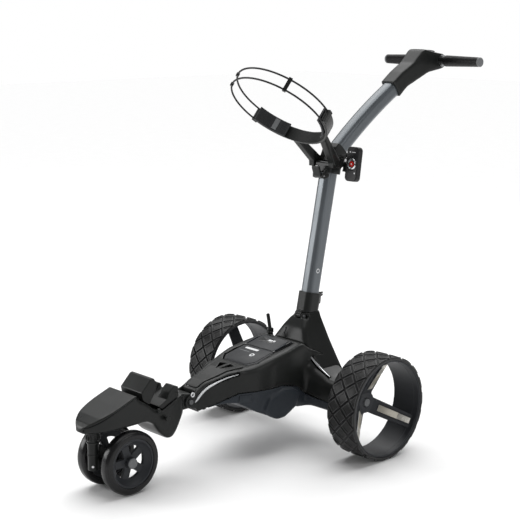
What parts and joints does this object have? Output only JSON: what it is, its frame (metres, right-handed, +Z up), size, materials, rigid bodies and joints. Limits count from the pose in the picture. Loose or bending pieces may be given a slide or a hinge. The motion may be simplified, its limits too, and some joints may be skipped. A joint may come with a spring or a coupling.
{
  "type": "electric golf trolley",
  "caption": "Folding electric golf trolley with powered rear wheels, twin front caster, battery, mast with bag strap and handle.",
  "frame": {"origin": "on the ground, on the centre plane, under the middle of the trolley's overall length", "axes": "+X to the trolley's left, +Y rearwards to the handle, +Z up"},
  "size_m": [0.608, 1.222, 0.9792],
  "materials": {
    "shell_black": "satin moulded",
    "shell_graphite": "matte moulded",
    "lid_grey": "fine texture",
    "bright_trim": "satin bright",
    "tube_graphite": "satin metallic",
    "aluminium": "mill",
    "steel": "brushed",
    "circuit": "matte",
    "cell_wrap": "shrink wrap",
    "rim_grey": "satin moulded",
    "button_grey": "satin",
    "tyre": "matte",
    "rubber_grey": "ribbed matte",
    "strap_cord": "satin",
    "screen": "glossy",
    "dial_black": "satin",
    "handset_black": "satin",
    "key_silver": "satin",
    "key_red": "glossy"
  },
  "bodies": {
    "chassis": {"main_shell": "shell_black", "lower_shell": "shell_graphite", "spine_cover": "shell_black", "accent_trims": "bright_trim", "tower_cover": "shell_black", "chassis_frame": "aluminium", "drive_motors": "steel", "axle_bearings": "steel", "controller_board": "circuit", "pivot_pins": "steel", "antenna_base": "shell_black"},
    "antenna": {"antenna_whip": "shell_black"},
    "battery": {"battery_case": "lid_grey", "battery_lid": "lid_grey", "battery_cells": "cell_wrap"},
    "battery_latch_left": {"battery_latch_left": "lid_grey"},
    "battery_latch_right": {"battery_latch_right": "lid_grey"},
    "front_section": {"front_shell": "shell_black", "nose_cover": "shell_black", "bag_stop": "shell_black", "cradle_plate": "shell_black", "strap_hooks": "shell_black"},
    "caster": {"caster_fork": "shell_black", "front_axle": "steel"},
    "mast": {"mast_collar": "shell_black", "mast_tube": "tube_graphite", "mast_head": "shell_black", "mast_pins": "steel", "bag_cradle": "shell_black", "cradle_pads": "rubber_grey", "strap_clamps": "shell_black", "strap_cords": "strap_cord", "handset_holder": "shell_black"},
    "mast_release": {"mast_release": "shell_black"},
    "handle_latch": {"handle_latch": "shell_black"},
    "handle": {"upper_tube": "tube_graphite", "handle_foot": "shell_black", "handle_head": "shell_black", "grips": "rubber_grey", "grip_rings": "bright_trim", "display_window": "screen"},
    "speed_dial": {"speed_dial": "dial_black"},
    "handset": {"handset_case": "handset_black"},
    "handset_keys": {"handset_keys": "key_silver"},
    "handset_stop": {"handset_stop": "key_red"},
    "rear_wheel_left": {"rear_tyre_left": "tyre", "rear_rim_left": "rim_grey", "spoke_inserts_left": "bright_trim", "axle_shaft_left": "steel"},
    "hub_button_left": {"hub_button_left": "button_grey"},
    "front_wheel_left": {"front_tyre_left": "tyre", "front_rim_left": "rim_grey"},
    "rear_wheel_right": {"rear_tyre_right": "tyre", "rear_rim_right": "rim_grey", "spoke_inserts_right": "bright_trim", "axle_shaft_right": "steel"},
    "hub_button_right": {"hub_button_right": "button_grey"},
    "front_wheel_right": {"front_tyre_right": "tyre", "front_rim_right": "rim_grey"}
  },
  "joints": [
    {"name": "rear_wheel_left_spin", "type": "hinge", "parent": "chassis", "child": "rear_wheel_left", "pos_m": [0.26, 0.089, 0.13], "axis": [1, 0, 0], "continuous": true},
    {"name": "hub_button_left_press", "type": "slide", "parent": "rear_wheel_left", "child": "hub_button_left", "axis": [-1, 0, 0], "range_m": [0, 0.003], "stiffness_N_per_m": 600},
    {"name": "rear_wheel_right_spin", "type": "hinge", "parent": "chassis", "child": "rear_wheel_right", "pos_m": [-0.26, 0.089, 0.13], "axis": [1, 0, 0], "continuous": true},
    {"name": "hub_button_right_press", "type": "slide", "parent": "rear_wheel_right", "child": "hub_button_right", "axis": [1, 0, 0], "range_m": [0, 0.003], "stiffness_N_per_m": 600},
    {"name": "front_fold", "type": "hinge", "parent": "chassis", "child": "front_section", "pos_m": [0, -0.311, 0.172], "axis": [1, 0, 0], "range_deg": [0, 85]},
    {"name": "caster_swivel", "type": "hinge", "parent": "front_section", "child": "caster", "pos_m": [0, -0.572, 0.11], "axis": [0, 0, 1], "continuous": true},
    {"name": "front_wheel_left_spin", "type": "hinge", "parent": "caster", "child": "front_wheel_left", "pos_m": [0.045, -0.504, 0.075], "axis": [1, 0, 0], "continuous": true},
    {"name": "front_wheel_right_spin", "type": "hinge", "parent": "caster", "child": "front_wheel_right", "pos_m": [-0.045, -0.504, 0.075], "axis": [1, 0, 0], "continuous": true},
    {"name": "mast_fold", "type": "hinge", "parent": "chassis", "child": "mast", "pos_m": [0, 0.083, 0.312], "axis": [1, 0, 0], "range_deg": [0, 75]},
    {"name": "mast_release_pull", "type": "hinge", "parent": "mast", "child": "mast_release", "pos_m": [0, 0.1496, 0.361], "axis": [1, 0, 0], "range_deg": [0, 30], "stiffness_Nm_per_rad": 0.3},
    {"name": "handle_fold", "type": "hinge", "parent": "mast", "child": "handle", "pos_m": [0, 0.217, 0.704], "axis": [-1, 0, 0], "range_deg": [0, 105]},
    {"name": "handle_latch_lift", "type": "hinge", "parent": "mast", "child": "handle_latch", "pos_m": [0, 0.149, 0.668], "axis": [1, 0, 0], "range_deg": [0, 70]},
    {"name": "speed_dial_turn", "type": "hinge", "parent": "handle", "child": "speed_dial", "pos_m": [0, 0.578, 0.96909], "axis": [0, 0.1908, 0.9816], "continuous": true},
    {"name": "battery_lift", "type": "slide", "parent": "chassis", "child": "battery", "axis": [0, -0.2402, 0.9707], "range_m": [0, 0.086]},
    {"name": "battery_latch_left_press", "type": "slide", "parent": "battery", "child": "battery_latch_left", "axis": [-1, 0, 0], "range_m": [0, 0.0025], "stiffness_N_per_m": 400},
    {"name": "battery_latch_right_press", "type": "slide", "parent": "battery", "child": "battery_latch_right", "axis": [1, 0, 0], "range_m": [0, 0.0025], "stiffness_N_per_m": 400},
    {"name": "antenna_fold", "type": "hinge", "parent": "chassis", "child": "antenna", "pos_m": [-0.044, 0.019, 0.277], "axis": [0, -1, 0], "range_deg": [-12, 66]},
    {"name": "handset_lift", "type": "slide", "parent": "mast", "child": "handset", "axis": [0, 0.1392, 0.9903], "range_m": [0, 0.07]},
    {"name": "handset_keys_press", "type": "slide", "parent": "handset", "child": "handset_keys", "axis": [0, 0.9903, -0.1392], "range_m": [0, 0.0008], "stiffness_N_per_m": 800},
    {"name": "handset_stop_press", "type": "slide", "parent": "handset", "child": "handset_stop", "axis": [0, 0.9903, -0.1392], "range_m": [0, 0.0008], "stiffness_N_per_m": 800}
  ]
}
